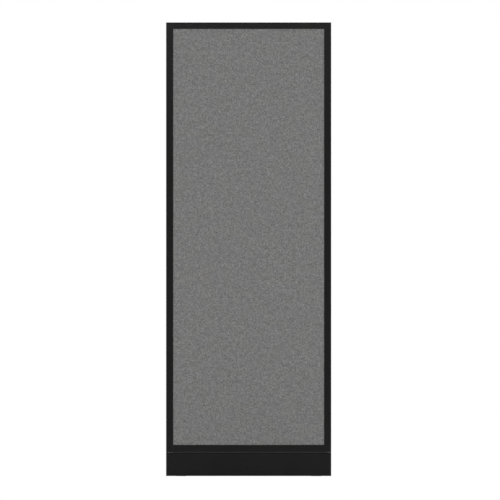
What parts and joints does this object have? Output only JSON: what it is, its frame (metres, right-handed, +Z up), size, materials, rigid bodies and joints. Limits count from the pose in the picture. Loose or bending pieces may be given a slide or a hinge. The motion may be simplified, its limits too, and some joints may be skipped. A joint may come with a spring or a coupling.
{
  "type": "partition wall",
  "caption": "Fabric-covered partition wall panel with black metal trims, hinged cable raceway covers at the base and screw glides.",
  "frame": {"origin": "on the floor, at the middle of the base", "axes": "+X along the wall, +Y through it from front to back, +Z up"},
  "size_m": [0.61, 0.051, 1.676],
  "materials": {
    "frame_steel": "mill steel tube and folded sheet",
    "zinc_steel": "bright zinc plate",
    "kraft_honeycomb": "raw kraft paper",
    "tile_board": "raw mineral fibre board",
    "grey_fabric": "woven polyester panel fabric, heather grey",
    "black_powder_coat": "black powder coat, satin with a fine texture",
    "black_plastic": "moulded black plastic, fine spark texture",
    "magnet": "nickel-plated disc",
    "sole_rubber": "moulded rubber"
  },
  "bodies": {
    "panel": {"stile_left": "frame_steel", "stile_right": "frame_steel", "top_tube": "frame_steel", "middle_tube": "frame_steel", "low_tube": "frame_steel", "base_pan": "frame_steel", "glide_nuts": "zinc_steel", "link_nuts": "zinc_steel", "core_upper": "kraft_honeycomb", "core_lower": "kraft_honeycomb", "tile_board_front": "tile_board", "tile_board_back": "tile_board", "tile_fabric_front": "grey_fabric", "tile_fabric_back": "grey_fabric", "tile_clips_front": "zinc_steel", "tile_clips_back": "zinc_steel", "side_trim_left": "black_powder_coat", "side_trim_right": "black_powder_coat", "edge_clips_left": "black_plastic", "edge_clips_right": "black_plastic", "edge_clip_screws": "zinc_steel", "top_cap": "black_powder_coat", "cap_end_left": "black_plastic", "cap_end_right": "black_plastic", "cap_clips": "black_plastic", "cap_clip_screws": "zinc_steel", "bottom_rail": "black_powder_coat", "bottom_rail_screws": "zinc_steel", "base_end_left": "black_plastic", "base_end_right": "black_plastic", "base_end_screws": "zinc_steel"},
    "front_cover": {"base_cover_front": "black_powder_coat", "cover_magnets_front": "magnet"},
    "back_cover": {"base_cover_back": "black_powder_coat", "cover_magnets_back": "magnet"},
    "foot_left": {"glide_foot_left": "black_plastic", "glide_sole_left": "sole_rubber"},
    "foot_right": {"glide_foot_right": "black_plastic", "glide_sole_right": "sole_rubber"},
    "stem_left": {"glide_stem_left": "zinc_steel"},
    "stem_right": {"glide_stem_right": "zinc_steel"}
  },
  "joints": [
    {"name": "base_cover_front_hinge", "type": "hinge", "parent": "panel", "child": "front_cover", "pos_m": [0, -0.0215, 0.083], "axis": [-1, 0, 0], "range_deg": [0, 90]},
    {"name": "base_cover_back_hinge", "type": "hinge", "parent": "panel", "child": "back_cover", "pos_m": [0, 0.0215, 0.083], "axis": [1, 0, 0], "range_deg": [0, 90]},
    {"name": "glide_left_lift", "type": "slide", "parent": "panel", "child": "foot_left", "axis": [0, 0, -1], "range_m": [0, 0.025]},
    {"name": "glide_left_turn", "type": "hinge", "parent": "foot_left", "child": "stem_left", "pos_m": [-0.25, 0, 0.009], "axis": [0, 0, -1], "range_deg": [0, 6000]},
    {"name": "glide_right_lift", "type": "slide", "parent": "panel", "child": "foot_right", "axis": [0, 0, -1], "range_m": [0, 0.025]},
    {"name": "glide_right_turn", "type": "hinge", "parent": "foot_right", "child": "stem_right", "pos_m": [0.25, 0, 0.009], "axis": [0, 0, -1], "range_deg": [0, 6000]}
  ],
  "couplings": [
    {"joint": "glide_left_turn", "follows": "glide_left_lift", "rad_per_m": 4188.8},
    {"joint": "glide_right_turn", "follows": "glide_right_lift", "rad_per_m": 4188.8}
  ]
}
